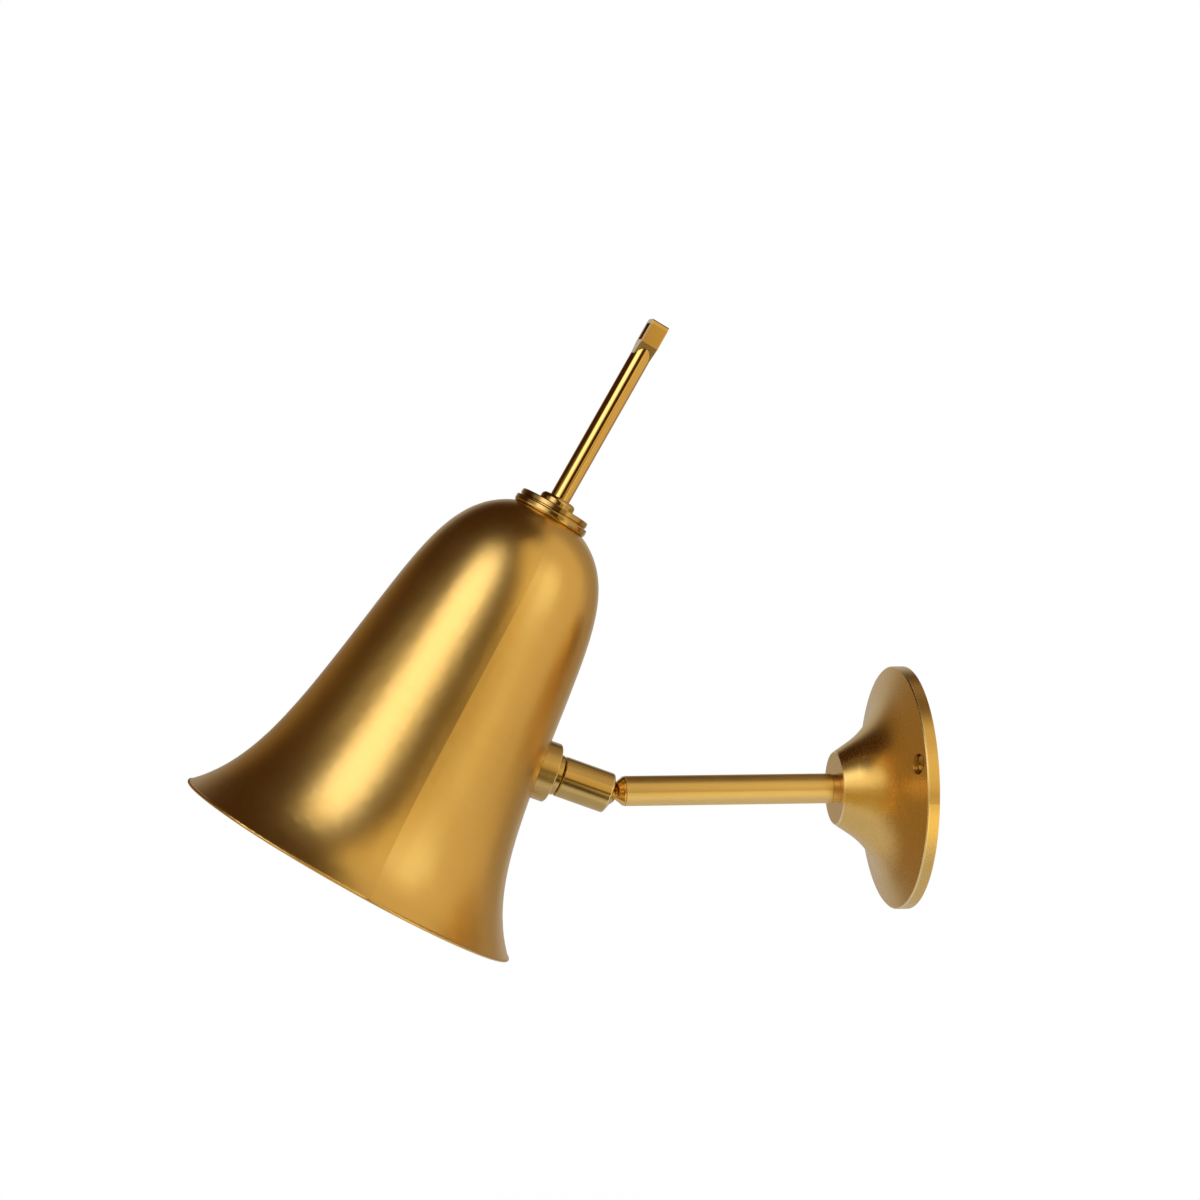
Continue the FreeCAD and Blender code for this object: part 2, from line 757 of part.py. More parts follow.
def make_barrel():
    """The barrel that holds the ball, open at its coned nose and bored from the back."""
    nose_drop = "(barrel_radius - mouth_radius) * tan(nose_angle)"
    blank = turned("barrel_blank", [
        ("0", f"-nose_height - {nose_drop}"),
        ("mouth_radius", f"-nose_height - {nose_drop}"),
        ("barrel_radius", "-nose_height"),
        ("barrel_radius", "barrel_back - edge_break"),
        ("barrel_radius - edge_break", "barrel_back"),
        ("0", "barrel_back"),
    ], JOINT)
    rounded(blank, [("barrel_radius", "-nose_height")], "nose_round")
    lip = f"sqrt(({SOCKET_RADIUS}) ^ 2 - nose_height ^ 2)"
    hollow = joined("barrel_hollow", [
        cylinder("barrel_bore_space", "barrel_bore", "0", "barrel_back + 1", JOINT),
        sphere("barrel_socket", SOCKET_RADIUS, "0", JOINT),
        cone("barrel_mouth", ("mouth_radius", lip), f"-nose_height - {nose_drop}", "-nose_height", JOINT),
    ])
    keep(cut("joint_barrel", blank, hollow))


def make_barrel_inside():
    """The cup behind the ball, the disc spring that presses it and the plug that closes the barrel."""
    cup = cylinder("seat_blank", "barrel_bore", "seat_lip", "seat_back", JOINT)
    cavity = joined("seat_cavity", [
        sphere("seat_socket", SOCKET_RADIUS, "0", JOINT),
        cylinder("seat_wire_hole", "wire_radius", "0", "seat_back + 1", JOINT),
    ])
    keep(cut("ball_seat", cup, cavity))
    keep(turned("seat_spring", [
        ("spring_hole", "seat_back + spring_height - spring_plate"),
        ("barrel_bore - end_gap", "seat_back"),
        ("barrel_bore - end_gap", "seat_back + spring_plate"),
        ("spring_hole", "seat_back + spring_height"),
    ], JOINT))
    keep(turned("barrel_plug", ring("spigot_shank_radius + running_gap", "barrel_bore",
                                    PLUG_FOOT, PLUG_TOP), JOINT))


def make_shade_clamp():
    """The spigot that turns in the plug, and what it clamps on both sides of the shade's wall."""
    keep(turned("swivel_spigot", [
        ("wire_radius", HEAD_FOOT),
        ("spigot_head_radius", HEAD_FOOT),
        ("spigot_head_radius", HEAD_TOP),
        ("spigot_shank_radius", HEAD_TOP),
        ("spigot_shank_radius", SPACER_FOOT),
        ("thread_radius", SPACER_FOOT),
        ("thread_radius", f"{BOSS_NUT_TOP} + spigot_tail"),
        ("wire_radius", f"{BOSS_NUT_TOP} + spigot_tail"),
    ], JOINT))
    keep(turned("spacer_ring", [
        ("thread_radius", SPACER_FOOT),
        ("spacer_radius - edge_break", SPACER_FOOT),
        ("spacer_radius", f"{SPACER_FOOT} + edge_break"),
        ("spacer_radius", BOSS_FOOT),
        ("thread_radius", BOSS_FOOT),
    ], JOINT))
    disc_top = f"{BOSS_TOP} + boss_radius"
    disc = turned("boss_blank", ring("thread_radius", "boss_radius", BOSS_FOOT, disc_top), JOINT)
    rounded(disc, [("boss_radius", BOSS_FOOT)], "boss_round")
    outside = feature("shade_outside", shade_block(value("saddle_gap")), SHADE)
    keep(cut("shade_boss", disc, outside))
    pad = turned("inner_washer_blank", ring("thread_radius + thread_play", "inner_washer_radius",
                                            BOSS_TOP, INNER_WASHER_TOP), JOINT)
    inside = feature("shade_inside", shade_block(-value("shade_wall + saddle_gap")), SHADE)
    keep(common("boss_washer", pad, inside))
    keep(hexagon("boss_nut", "nut_flats", "thread_radius", INNER_WASHER_TOP, BOSS_NUT_TOP, JOINT))


# ------------------------------------------------------------------------------------------ the shade

def make_shade():
    """The spun bell with a rolled bead round its rim, and with a hole in its crown and one in its side."""
    skin = shade_block(0).cut(shade_block(-value("shade_wall")))
    bell = feature("bell_skin", with_bead(skin), SHADE)
    holes = joined("bell_holes", [
        cylinder("crown_hole", "thread_radius + thread_play", f"{CROWN_TOP} - hole_reach",
                 f"{CROWN_TOP} + hole_reach", SHADE),
        cylinder("side_hole", "thread_radius + thread_play", BOSS_FOOT, BOSS_NUT_TOP, JOINT),
    ])
    keep(cut("bell_shade", bell, holes))


CROWN_TOP = f"{CROWN:.6f}"
CROWN_UNDER = f"{shade_curve(-value('shade_wall'))[2].z:.6f}"
DISC_TOP = CROWN_TOP + " + lower_disc_height"
STACK_TOP = DISC_TOP + " + upper_disc_height"
COLLAR_TOP = STACK_TOP + " + rod_collar_height"
ROD_TOP = COLLAR_TOP + " + rod_length"


def make_crown_stack():
    """The two discs on the crown, with a fine seam between them, and the domed collar of the rod."""
    lower = turned("lower_cap_disc", [
        ("thread_radius", CROWN_TOP),
        ("lower_disc_radius", CROWN_TOP),
        ("lower_disc_radius", DISC_TOP),
        ("thread_radius", DISC_TOP),
    ], SHADE)
    rounded(lower, [("lower_disc_radius", CROWN_TOP)], "disc_foot_round")
    keep(rounded(lower, [("lower_disc_radius", DISC_TOP)], "disc_round"))
    keep(turned("upper_cap_disc", [
        ("thread_radius", DISC_TOP),
        ("upper_disc_radius - disc_seam", DISC_TOP),
        ("upper_disc_radius - disc_seam", f"{DISC_TOP} + disc_seam"),
        ("upper_disc_radius", f"{DISC_TOP} + 2 * disc_seam"),
        ("upper_disc_radius", f"{STACK_TOP} - disc_seam"),
        ("upper_disc_radius - disc_seam", STACK_TOP),
        ("thread_radius", STACK_TOP),
    ], SHADE))
    collar = turned("rod_collar", [
        ("thread_radius", STACK_TOP),
        ("rod_collar_radius", STACK_TOP),
        ("rod_collar_radius", COLLAR_TOP),
        ("rod_tenon_radius", COLLAR_TOP),
        ("rod_tenon_radius", f"{COLLAR_TOP} - rod_tenon_length"),
        ("thread_radius", f"{COLLAR_TOP} - rod_tenon_length"),
    ], SHADE)
    keep(rounded(collar, [("rod_collar_radius", COLLAR_TOP)], "rod_collar_round"))


def loop_outline():
    """The loop's outline, drawn across and up the rod, with its root tapering into the rod."""
    root = f"{ROD_TOP} - loop_rod_overlap"
    knee = f"{root} + loop_root_height"
    top = f"{knee} + loop_height"
    right = [
        ("loop_root_half_span", root),
        ("loop_half_span", knee),
        ("loop_half_span", f"{top} - loop_round"),
        ("loop_half_span - 0.3 * loop_round", f"{top} - 0.3 * loop_round"),
        ("loop_half_span - loop_round", top),
    ]
    left = [(f"-({across})", up) for across, up in reversed(right)]
    return right + left, knee, top


def make_rod_and_loop():
    """The round rod, forked at its top, and the flat loop whose root sits in the fork."""
    corners, knee, top = loop_outline()
    plate = milled("loop_plate", corners, "loop_width", SHADE)
    eye = milled("loop_eye", [
        ("loop_half_span - loop_band", f"{knee} + loop_sill"),
        ("loop_half_span - loop_band", f"{top} - loop_band"),
        ("-loop_half_span + loop_band", f"{top} - loop_band"),
        ("-loop_half_span + loop_band", f"{knee} + loop_sill"),
    ], "2 * loop_width", SHADE)
    keep(cut("hanging_loop", plate, eye))
    rod = joined("rod_blank", [
        cylinder("rod_round", "rod_radius", COLLAR_TOP, ROD_TOP, SHADE),
        cylinder("rod_tenon", "rod_tenon_radius", f"{COLLAR_TOP} - rod_tenon_length", COLLAR_TOP, SHADE),
    ])
    fork = milled("rod_fork", corners, "4 * rod_radius", SHADE)
    keep(cut("top_rod", rod, fork))


# ----------------------------------------------------------------------------- lampholder and the bulb

CROWN_WASHER_FOOT = CROWN_UNDER + " - washer_height"
CROWN_NUT_FOOT = CROWN_WASHER_FOOT + " - nut_height"
HOLDER_FOOT = CROWN_NUT_FOOT + " - holder_cap_height"
CORE_FOOT = HOLDER_FOOT + " - contact_height"
SLEEVE_FOOT = HOLDER_FOOT + " - holder_sleeve_height"
TIP_TOP = CORE_FOOT + " - contact_height"
BULB_SHOULDER = TIP_TOP + " - bulb_tip_height - bulb_cap_height"
SCREW_RADIUS = "bulb_cap_radius + bulb_play"


def make_crown_fixing():
    """The nipple through the crown, with its washer and nut inside the shade."""
    nipple_top = f"{COLLAR_TOP} - rod_tenon_length"
    keep(turned("shade_nipple", ring("wire_radius", "thread_radius",
                                     f"{nipple_top} - nipple_length", nipple_top), SHADE))
    keep(turned("crown_washer", ring("thread_radius + thread_play", "crown_washer_radius",
                                     CROWN_WASHER_FOOT, CROWN_UNDER), SHADE))
    keep(hexagon("crown_nut", "nut_flats", "thread_radius", CROWN_NUT_FOOT, CROWN_WASHER_FOOT, SHADE))


def make_lampholder():
    """The lampholder: domed cap, insulating core, sleeve, screw shell and centre contact."""
    neck_foot = f"{CROWN_NUT_FOOT} - holder_neck_height"
    dome_foot = f"{neck_foot} - holder_dome_height"
    keep(turned("holder_cap", [
        ("thread_radius", CROWN_NUT_FOOT),
        ("holder_neck_radius", CROWN_NUT_FOOT),
        ("holder_neck_radius", neck_foot),
        ("holder_radius", dome_foot),
        ("holder_radius", HOLDER_FOOT),
        ("holder_radius - holder_wall", HOLDER_FOOT),
        ("holder_radius - holder_wall", f"{dome_foot} - 0.5 * holder_wall"),
        ("holder_neck_radius", f"{neck_foot} - holder_wall"),
        ("thread_radius", f"{neck_foot} - holder_wall"),
    ], SHADE))
    keep(turned("holder_core", [
        ("0", CORE_FOOT),
        (SCREW_RADIUS, CORE_FOOT),
        (SCREW_RADIUS, HOLDER_FOOT),
        ("holder_radius - holder_wall", HOLDER_FOOT),
        ("holder_radius - holder_wall", f"{HOLDER_FOOT} + holder_core_height"),
        ("0", f"{HOLDER_FOOT} + holder_core_height"),
    ], SHADE))
    shell_outside = f"{SCREW_RADIUS} + holder_shell_wall"
    sleeve = turned("holder_sleeve", ring(shell_outside, "holder_radius", SLEEVE_FOOT, HOLDER_FOOT), SHADE)
    keep(rounded(sleeve, [("holder_radius", SLEEVE_FOOT)], "disc_round"))
    keep(turned("screw_shell", ring(SCREW_RADIUS, shell_outside, SLEEVE_FOOT, HOLDER_FOOT), SHADE))
    keep(turned("centre_contact", ring("0", "contact_radius", TIP_TOP, CORE_FOOT), SHADE))


def make_bulb():
    """The bulb: a screw cap with its tip, and a thin pear of glass."""
    cap_shoulder = f"{TIP_TOP} - bulb_tip_height"
    keep(turned("bulb_cap", [
        ("bulb_cap_radius - bulb_cap_wall", BULB_SHOULDER),
        ("bulb_cap_radius", BULB_SHOULDER),
        ("bulb_cap_radius", cap_shoulder),
        ("bulb_tip_radius", TIP_TOP),
        ("0", TIP_TOP),
        ("0", f"{TIP_TOP} - bulb_tip_height / 2"),
        ("bulb_cap_radius - bulb_cap_wall", f"{cap_shoulder} - bulb_tip_height / 2"),
    ], SHADE))
    outside = bulb_pear("pear_outside", 0)
    inside = bulb_pear("pear_inside", value("bulb_wall"))
    keep(cut("bulb_glass", outside, inside))


def bulb_pear(name, inset):
    """The bulb's pear shape, drawn in by an inset: a neck line, a tangent arc and a round end."""
    neck = value("bulb_cap_radius") - inset
    big = value("bulb_radius") - inset
    shoulder = value(BULB_SHOULDER)
    centre = shoulder - value("bulb_length") + value("bulb_radius")
    meeting = math.radians(52)
    meet = FreeCAD.Vector(big * math.sin(meeting), 0, centre + big * math.cos(meeting))
    top = FreeCAD.Vector(neck, 0, shoulder)
    apex = FreeCAD.Vector(0, 0, centre - big)
    belly = FreeCAD.Vector(big, 0, centre)
    along = FreeCAD.Vector(math.cos(meeting), 0, -math.sin(meeting))
    reach = (top - meet).Length / 2.2
    poles = [top, FreeCAD.Vector(neck, 0, shoulder - reach), meet - along * reach, meet]
    sweep = Part.BezierCurve()
    sweep.setPoles(poles)
    axis_top = FreeCAD.Vector(0, 0, shoulder)
    edges = [sweep.toShape(), Part.Arc(meet, belly, apex).toShape(),
             Part.makeLine(apex, axis_top), Part.makeLine(axis_top, top)]
    solid = Part.Face(Part.Wire(Part.__sortEdges__(edges))).revolve(ORIGIN, Z_AXIS, 360)
    return feature(name, solid, SHADE)


# ------------------------------------------------------------------------------------------ the build

make_rosette()
make_bracket()
make_rosette_screws()
make_cable_inlet()
make_earth_screw()
make_terminals()
make_arm()
make_arm_fixing()
make_ball_stud()
make_barrel()
make_barrel_inside()
make_shade_clamp()
make_shade()
make_crown_stack()
make_rod_and_loop()
make_crown_fixing()
make_lampholder()
make_bulb()
document.recompute()

faults = []
for item in document.Objects:
    if "Invalid" in item.State or "Error" in item.State:
        faults.append(f"{item.Name}: {item.State}")
for item in pieces:
    if item.Shape.isNull() or not item.Shape.isValid() or not item.Shape.Solids:
        faults.append(f"{item.Label}: no valid solid")
if faults:
    raise RuntimeError("; ".join(faults))

os.makedirs("parts", exist_ok=True)
for item in pieces:
    item.Shape.exportStep(f"parts/{item.Label}.step")
    box = item.Shape.BoundBox
    print(f"{item.Label:18s} solids {len(item.Shape.Solids)}  volume {item.Shape.Volume / 1000:8.3f} cm3  "
          f"Y {box.YMin:8.2f} {box.YMax:8.2f}  Z {box.ZMin:8.2f} {box.ZMax:8.2f}")
print("pieces", len(pieces))
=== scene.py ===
import math

import bmesh
import bpy
from mathutils import Matrix, Vector


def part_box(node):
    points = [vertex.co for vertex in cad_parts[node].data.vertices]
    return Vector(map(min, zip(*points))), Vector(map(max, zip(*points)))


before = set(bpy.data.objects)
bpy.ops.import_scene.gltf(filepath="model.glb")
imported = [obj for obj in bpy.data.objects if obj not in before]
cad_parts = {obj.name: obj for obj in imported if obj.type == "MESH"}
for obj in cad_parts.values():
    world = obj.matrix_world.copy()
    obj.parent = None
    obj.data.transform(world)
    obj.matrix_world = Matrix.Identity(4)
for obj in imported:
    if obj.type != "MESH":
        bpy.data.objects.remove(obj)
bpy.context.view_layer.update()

# A brass wall light in a plain studio: a turned rosette, a straight arm, a ball joint, a spun bell shade
# and a rod with a flat loop.  +Y points into the wall, +Z is up, and all lengths are in metres.
#
# Turned pieces have an axis of their own, and each axis is a matrix that carries local Z onto it:
#   wall axis    starts on the wall and runs along the arm
#   joint axis   starts at the ball's centre and runs along the barrel, towards the shade
#   shade axis   starts at the middle of the shade's rim and runs up to the crown

MM = 0.001


# ------------------------------------------------------------------------------------ the three axes

BALL_REACH = 151.8 * MM
BARREL_RISE = math.radians(20.0)
SHADE_LEAN = math.radians(29.4)
RIM_BEAD_RING = 87.2 * MM
RIM_BEAD_RADIUS = 0.8 * MM


def axis_frame(origin, tilt):
    """A frame whose Z starts straight up and is turned about X by a tilt."""
    return Matrix.Translation(origin) @ Matrix.Rotation(tilt, 4, "X")


def rim_centre():
    """The middle of the shade's rim, from the shade's own box: the rim's rolled bead is its lowest part."""
    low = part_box("bell_shade")[0]
    lean_cos = math.cos(SHADE_LEAN)
    lean_sin = math.sin(SHADE_LEAN)
    return Vector((
        0,
        low.y + RIM_BEAD_RING * lean_cos + RIM_BEAD_RADIUS * (1 - lean_sin),
        low.z + RIM_BEAD_RING * lean_sin + RIM_BEAD_RADIUS * (1 - lean_cos),
    ))


WALL_AXIS = axis_frame(Vector((0, 0, 0)), math.pi / 2)
JOINT_AXIS = axis_frame(Vector((0, -BALL_REACH, 0)), math.pi / 2 - BARREL_RISE)
SHADE_AXIS = axis_frame(rim_centre(), -SHADE_LEAN)


# ------------------------------------------------------------------------------- materials, the maths

class Value:
    """A shader socket that takes part in plain arithmetic."""

    def __init__(self, finish, socket):
        self.finish = finish
        self.socket = socket

    def math(self, operation, *others):
        """A Math node on this value and others."""
        sockets = dict(enumerate((self, *others)))
        return self.finish.node("ShaderNodeMath", {"operation": operation}, sockets)

    def __add__(self, other):
        return self.math("ADD", other)

    __radd__ = __add__

    def __mul__(self, other):
        return self.math("MULTIPLY", other)

    __rmul__ = __mul__

    def __sub__(self, other):
        return self.math("SUBTRACT", other)

    def __rsub__(self, other):
        return (self * -1.0) + other

    def __truediv__(self, other):
        return self.math("DIVIDE", other)

    def __pow__(self, other):
        return self.math("POWER", other)

    def clamped(self):
        """This value held between 0 and 1."""
        return self.math("MAXIMUM", 0.0).math("MINIMUM", 1.0)

    def step(self, start, end):
        """A soft step, 0 at the start and 1 at the end."""
        sockets = {"Value": self, "From Min": start, "From Max": end}
        return self.finish.node("ShaderNodeMapRange", {"interpolation_type": "SMOOTHSTEP"}, sockets)

    def between(self, low, high, soft):
        """1 from a low to a high value and 0 outside them, with soft ends."""
        return self.step(low - soft, low + soft) * (1.0 - self.step(high - soft, high + soft))

    def hill(self, centre, width):
        """A smooth hill, 1 at the centre and down to about 0.37 at a width from it."""
        aside = (self - centre) / width
        return (aside * aside * -1.0).math("EXPONENT")


class Finish:
    """The nodes of one material, or of the room, being put together."""

    def __init__(self, owner):
        owner.use_nodes = True
        self.owner = owner
        self.tree = owner.node_tree
        self.tree.nodes.clear()

    def node(self, kind, settings=None, sockets=None, output=0):
        """Add a node: its settings first, then the values or links of its sockets; gives one output."""
        made = self.tree.nodes.new(kind)
        for name, setting in (settings or {}).items():
            setattr(made, name, setting)
        for name, given in (sockets or {}).items():
            if isinstance(given, Value):
                self.tree.links.new(given.socket, made.inputs[name])
            else:
                made.inputs[name].default_value = given
        return Value(self, made.outputs[output]) if len(made.outputs) else None

    def blend(self, amount, first, second):
        """A colour between two colours."""
        settings = {"data_type": "RGBA", "clamp_factor": True}
        return self.node("ShaderNodeMix", settings, {0: amount, 6: opaque(first), 7: opaque(second)}, 2)

    def noise(self, place, scale, detail=2.0, roughness=0.5):
        """Smooth noise of a scale per metre, from 0 to 1."""
        sockets = {"Vector": place, "Scale": scale, "Detail": detail, "Roughness": roughness}
        return self.node("ShaderNodeTexNoise", None, sockets)

    def place(self):
        """Places in the piece's own frame."""
        return self.node("ShaderNodeTexCoord", None, None, "Object")

    def along(self, axis):
        """Places measured in a turned piece's own axis frame."""
        inverse = axis.inverted()
        sockets = {"Vector": self.place(), "Location": inverse.translation, "Rotation": inverse.to_euler()}
        return self.node("ShaderNodeMapping", {"vector_type": "POINT"}, sockets)

    def parts(self, place):
        """The three coordinates of a place."""
        return [self.node("ShaderNodeSeparateXYZ", None, {0: place}, index) for index in range(3)]

    def joined(self, across, along, up):
        """A place made of three coordinates."""
        return self.node("ShaderNodeCombineXYZ", None, {0: across, 1: along, 2: up})

    def bump(self, height, distance):
        """A normal that follows a height given in shares of a distance."""
        return self.node("ShaderNodeBump", None, {"Height": height, "Distance": distance, "Strength": 1.0})

    def surface(self, **sockets):
        """End the material in a Principled shader and return the material."""
        named = {name.replace("_", " "): given for name, given in sockets.items()}
        return self.ended(self.node("ShaderNodeBsdfPrincipled", None, named))

    def ended(self, shader):
        """Send a shader to the material's surface and return the material."""
        self.node("ShaderNodeOutputMaterial", None, {"Surface": shader})
        return self.owner


def opaque(colour):
    """A colour with full alpha, or a link as it is."""
    return colour if isinstance(colour, Value) else (*colour, 1.0)


def new_finish(name):
    """An empty material to be put together."""
    return Finish(bpy.data.materials.new(name))


def length(across, along):
    """The length of a line that runs some way across and some way along."""
    return (across * across + along * along) ** 0.5


# -------------------------------------------------------------------------------------------- brasses

BRASS_LIGHT = (0.83, 0.56, 0.20)
BRASS_DEEP = (0.77, 0.49, 0.145)
# Brass rubbed bright along edges: partly wear, partly a painted highlight.
BRASS_WORN_HIGHLIGHT = (0.93, 0.74, 0.42)
JOINT_LIGHT = (0.64, 0.44, 0.17)
JOINT_DEEP = (0.52, 0.34, 0.11)
# Painted light: the arm's brass is lighter than the other brass, standing in for the extra light that falls
# on the arm.
ARM_PAINTED_LIT_LIGHT = (0.94, 0.67, 0.27)
ARM_PAINTED_LIT_DEEP = (0.89, 0.61, 0.22)
# Painted shade: the dark colour put inside the rosette's screw wells.
WELL_PAINTED_SHADE = (0.10, 0.055, 0.02)

# Noise scales of the brass, per metre, and the height of its relief.
PATINA_CLOUDS = 34.0
TUBE_CLOUDS = 60.0
BROAD_RINGS = 260.0
BRASS_SPECKS = 1300.0
DRAWN_STREAKS = 1900.0
FINE_RINGS = 2600.0
TURNED_RELIEF = 0.8e-6
DRAWN_RELIEF = 0.6e-6

# A ring runs round the piece and a streak runs along it, so their noise hardly changes that way.
RING_STRETCH = 0.0006
STREAK_STRETCH = 0.02

EDGE_WIDTH = 0.4 * MM
# How far inside and outside a screw well's rim its painted shade fades out.
WELL_SHADE_INSIDE = 0.3 * MM
WELL_SHADE_OUTSIDE = 0.1 * MM
LACQUER = {"Coat_Weight": 0.12, "Coat_Roughness": 0.22}


def turned_brass(name, axis, roughness, rings=1.0, edges=(), light=BRASS_LIGHT, deep=BRASS_DEEP, wells=()):
    """Antique brass finished on the lathe: fine rings, a cloudy patina, edges worn bright with a partly
    painted highlight, and painted shade in the screw wells.
    """
    finish = new_finish(name)
    place = finish.along(axis)
    across, along, up = finish.parts(place)
    radius = length(across, along)
    turn = along.math("ARCTAN2", across)
    ring_place = finish.joined(radius, up, turn * RING_STRETCH)
    fine = finish.noise(ring_place, FINE_RINGS, 3.0)
    broad = finish.noise(ring_place, BROAD_RINGS)
    cloud = finish.noise(place, PATINA_CLOUDS, 4.0, 0.6)
    speck = finish.noise(place, BRASS_SPECKS)
    tint = ((cloud - 0.5) * 0.9 + (broad - 0.5) * 0.4 + (speck - 0.5) * 0.12 + 0.5).clamped()
    colour = finish.blend(tint, deep, light)
    # Painted shade: each screw well is coloured dark inside its rim, where the hole lies in shade.
    for well_across, well_along, well_radius in wells:
        distance = length(across - well_across, along - well_along)
        inside = 1.0 - distance.step(well_radius - WELL_SHADE_INSIDE, well_radius + WELL_SHADE_OUTSIDE)
        colour = finish.blend(inside, colour, WELL_PAINTED_SHADE)
    colour = with_worn_highlight_rings(finish, colour, radius, up, edges, speck)
    gloss = (cloud - 0.5) * 0.06 + (fine - 0.5) * 0.04 * rings + (speck - 0.5) * 0.02 + roughness
    relief = fine * rings + broad * 2.0 * rings + speck * 0.3
    return finish.surface(
        Base_Color=colour,
        Metallic=1.0,
        Roughness=gloss,
        Normal=finish.bump(relief, TURNED_RELIEF),
        **LACQUER,
    )


def drawn_brass(name, axis, roughness, edges=(), side_edge=None, light=BRASS_LIGHT, deep=BRASS_DEEP):
    """Antique brass tube, rod or strip, with fine marks along its length and edges worn bright, partly a
    painted highlight.
    """
    finish = new_finish(name)
    place = finish.along(axis)
    across, along, up = finish.parts(place)
    streaks = finish.noise(finish.joined(across, along, up * STREAK_STRETCH), DRAWN_STREAKS, 3.0)
    cloud = finish.noise(place, TUBE_CLOUDS, 4.0, 0.6)
    speck = finish.noise(place, BRASS_SPECKS)
    tint = ((cloud - 0.5) * 1.2 + (streaks - 0.5) * 0.4 + 0.5).clamped()
    colour = finish.blend(tint, deep, light)
    colour = with_worn_highlight_rings(finish, colour, length(across, along), up, edges, speck)
    # The loop's long edges are worn bright, partly wear and partly a painted highlight.
    if side_edge is not None:
        worn_highlight = along.math("ABSOLUTE").hill(side_edge, EDGE_WIDTH)
        colour = finish.blend(worn_highlight * (speck * 0.8 + 0.4), colour, BRASS_WORN_HIGHLIGHT)
    return finish.surface(
        Base_Color=colour,
        Metallic=1.0,
        Roughness=(cloud - 0.5) * 0.08 + (streaks - 0.5) * 0.05 + roughness,
        Normal=finish.bump(streaks, DRAWN_RELIEF),
        **LACQUER,
    )


def with_worn_highlight_rings(finish, colour, radius, up, edges, speck):
    """A colour worn bright along turned edges, partly wear and partly a painted highlight; the edges are
    given as (radius, height) on the axis.
    """
    for edge_radius, edge_height in edges:
        aside = (radius - edge_radius) / EDGE_WIDTH
        above = (up - edge_height) / EDGE_WIDTH
        worn_highlight = ((aside * aside + above * above) * -1.0).math("EXPONENT")
        colour = finish.blend(worn_highlight * (speck * 0.8 + 0.5), colour, BRASS_WORN_HIGHLIGHT)
    return colour


def rings_mm(*pairs):
    """Turned edges given as (radius, height) in millimetres."""
    return [(radius * MM, height * MM) for radius, height in pairs]


# ------------------------------------------------------------------------- fixings, mouldings and bulb

FIXING_CLOUDS = 140.0
FIXING_GRAIN = 900.0
FIXING_RELIEF = 4.0e-6
MOULDED_CLOUDS = 90.0
MOULDED_SPECKS = 1800.0
MOULDED_RELIEF = 6.0e-6
GLASS_CLOUDS = 60.0
GLASS_LIGHT = (0.88, 0.87, 0.85)
GLASS_DEEP = (0.80, 0.79, 0.76)


def plain_metal(name, light, deep, roughness):
    """A dull metal with a fine grain, for fixings."""
    finish = new_finish(name)
    place = finish.place()
    cloud = finish.noise(place, FIXING_CLOUDS, 4.0, 0.6)
    speck = finish.noise(place, FIXING_GRAIN, 3.0)
    return finish.surface(
        Base_Color=finish.blend(((cloud - 0.5) * 1.4 + 0.5).clamped(), deep, light),
        Metallic=1.0,
        Roughness=(speck - 0.5) * 0.12 + roughness,
        Normal=finish.bump(speck, FIXING_RELIEF),
    )


def moulded(name, light, deep, roughness, coat=0.0):
    """A moulded or glazed piece: rubber, plastic or ceramic."""
    finish = new_finish(name)
    place = finish.place()
    cloud = finish.noise(place, MOULDED_CLOUDS, 3.0)
    speck = finish.noise(place, MOULDED_SPECKS)
    return finish.surface(
        Base_Color=finish.blend(cloud, deep, light),
        Roughness=(speck - 0.5) * 0.1 + roughness,
        Coat_Weight=coat,
        Coat_Roughness=0.08,
        Normal=finish.bump(speck, MOULDED_RELIEF),
    )


def frosted_glass(name):
    """The bulb's glass, white inside and smooth outside."""
    finish = new_finish(name)
    cloud = finish.noise(finish.place(), GLASS_CLOUDS, 3.0)
    return finish.surface(
        Base_Color=finish.blend(cloud, GLASS_DEEP, GLASS_LIGHT),
        Roughness=(cloud - 0.5) * 0.1 + 0.32,
        Coat_Weight=0.7,
        Coat_Roughness=0.05,
    )


# ------------------------------------------------------------------------------ the lamp's own finishes

SCREW_REACH = 52.6 * MM
SCREW_TURN = math.radians(20.0)
SCREW_WELL_RADIUS = 4.9 * MM
SCREW_ACROSS = SCREW_REACH * math.cos(SCREW_TURN)
SCREW_ALONG = SCREW_REACH * math.sin(SCREW_TURN)
SCREW_WELLS = [(side * SCREW_ACROSS, side * SCREW_ALONG, SCREW_WELL_RADIUS) for side in (1, -1)]
# Turned edges worn bright, partly wear and partly a painted highlight, as (radius, height) in millimetres.
ROSETTE_EDGES = rings_mm((59.7, 5.8), (60.0, 5.4), (18.1, 35.2), (17.8, 35.5))
ARM_EDGES = rings_mm((7.2, 141.5))
BARREL_EDGES = rings_mm((9.8, 22.9), (9.9, -2.2), (9.8, 23.6), (9.8, 26.9))
BOSS_EDGES = rings_mm((14.4, 27.2))
LOOP_HALF_WIDTH = 4.5 * MM

